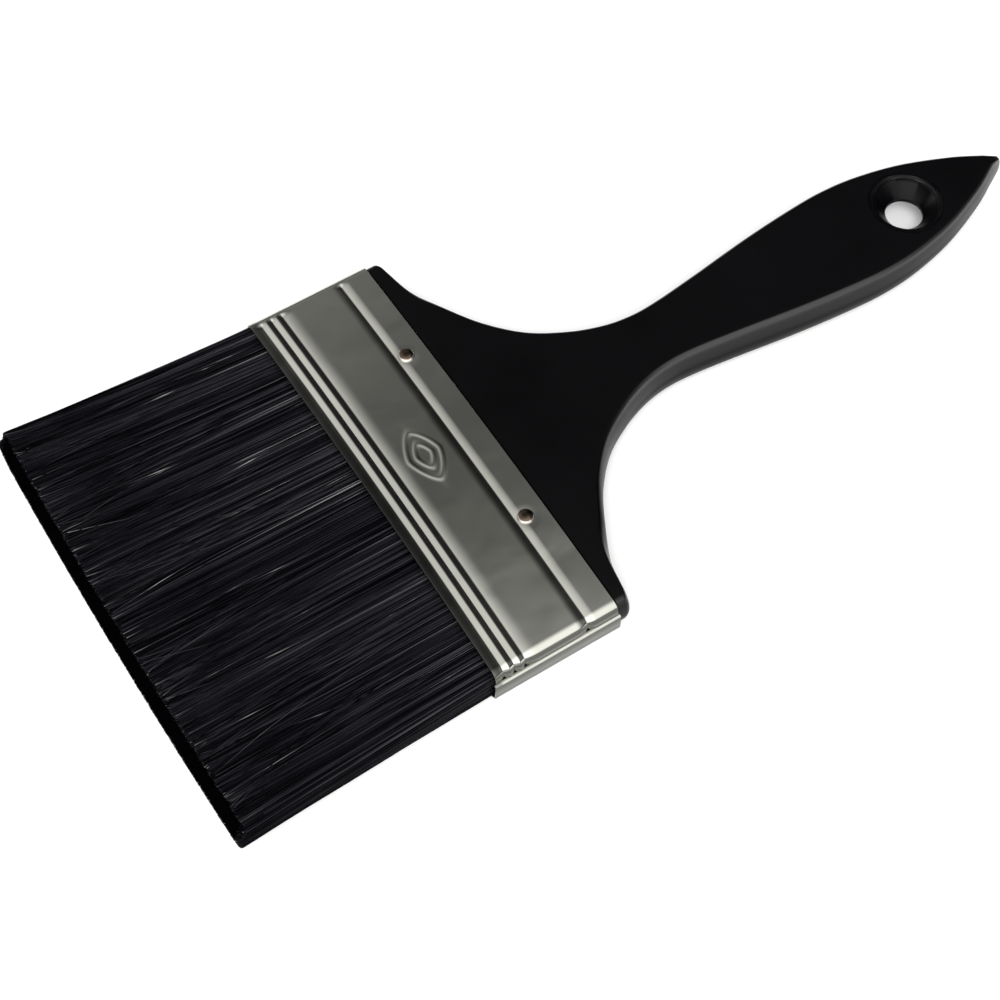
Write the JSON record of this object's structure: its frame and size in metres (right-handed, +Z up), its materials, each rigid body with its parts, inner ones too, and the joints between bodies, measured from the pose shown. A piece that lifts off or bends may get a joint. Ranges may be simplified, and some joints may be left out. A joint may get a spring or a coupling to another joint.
{
  "type": "flat paint brush",
  "caption": "Wide flat wall brush with a beaver-tail handle, a grooved sheet-metal ferrule, nails, a hang hole and bristles that flex.",
  "frame": {"origin": "under the middle of the bounding box, on the surface the brush lies on", "axes": "+X from the bristle tips to the handle tip, +Y across the width away from the ferrule's lap, +Z up through the thickness"},
  "size_m": [0.2263, 0.105, 0.0145],
  "materials": {
    "handle_plastic": "satin black moulded plastic",
    "ferrule_metal": "bright tin plate",
    "nail_steel": "polished",
    "bristle_filament": "black filament",
    "spacer_board": "raw",
    "setting_resin": "cast resin"
  },
  "bodies": {
    "handle_and_ferrule": {"handle": "handle_plastic", "ferrule": "ferrule_metal", "nail_top_far": "nail_steel", "nail_top_near": "nail_steel", "nail_underside_far": "nail_steel", "nail_underside_near": "nail_steel", "bristle_roots": "bristle_filament", "spacer_upper": "spacer_board", "spacer_lower": "spacer_board", "resin_setting": "setting_resin"},
    "bristles": {"bristle_pack": "bristle_filament"}
  },
  "joints": [
    {"name": "bristle_flex", "type": "hinge", "parent": "handle_and_ferrule", "child": "bristles", "pos_m": [-0.06317, 0, 0.00725], "axis": [0, 1, 0], "range_deg": [-30, 30], "stiffness_Nm_per_rad": 0.8}
  ]
}
